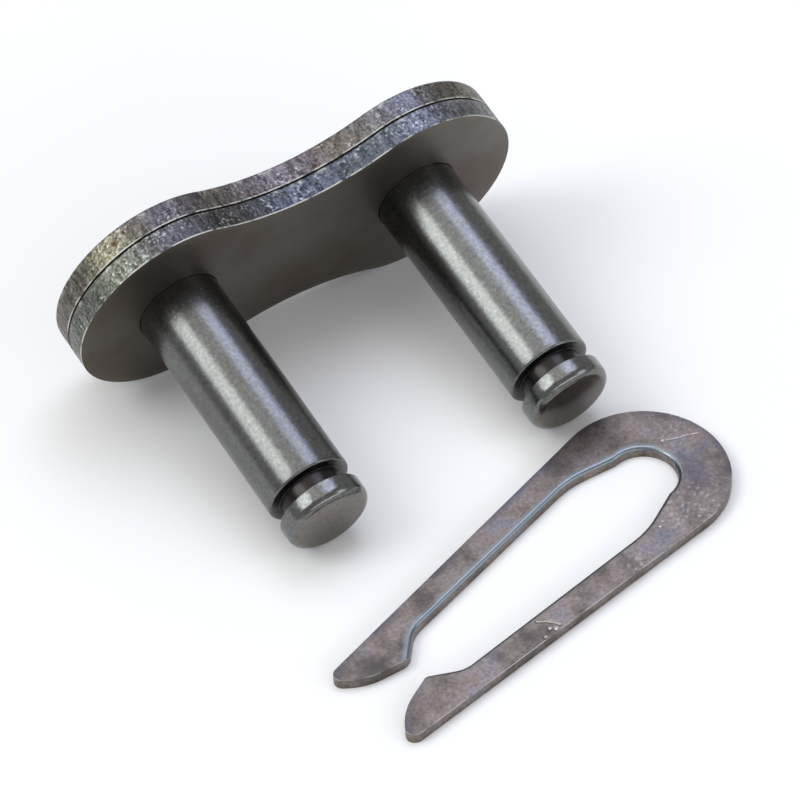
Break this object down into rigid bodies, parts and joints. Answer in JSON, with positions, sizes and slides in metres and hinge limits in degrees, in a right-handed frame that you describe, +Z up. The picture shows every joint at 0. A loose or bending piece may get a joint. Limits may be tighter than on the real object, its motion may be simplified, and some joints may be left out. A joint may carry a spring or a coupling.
{
  "type": "chain connecting link",
  "caption": "Roller chain connecting link: waisted pin plate with riveted grooved pins, a loose cover plate pushed back on them, and its spring clip lying beside the tips.",
  "frame": {"origin": "on the surface it lies on, under the middle of the whole layout (link and clip together)", "axes": "+Z up from the surface; +X along the pitch from the left pin to the right pin; +Y from the spring clip back to the plates; the pins point to -Y and slope down by 13.5 degrees"},
  "size_m": [0.0286, 0.0342, 0.013],
  "materials": {
    "plate_steel": "dark oiled heat-treated steel, torn bright streaks on the punched rims",
    "pin_steel": "satin hardened and ground steel, slightly mottled",
    "clip_steel": "mottled brown-grey spring steel, small pits and scratches"
  },
  "bodies": {
    "link": {"pin_plate": "plate_steel", "pin_left": "pin_steel", "pin_right": "pin_steel", "spring_clip": "clip_steel"},
    "cover": {"cover_plate": "plate_steel"}
  },
  "joints": [
    {"name": "cover_slide", "type": "slide", "parent": "link", "child": "cover", "axis": [0, -0.9723, -0.2338], "range_m": [0, 0.0172]}
  ]
}
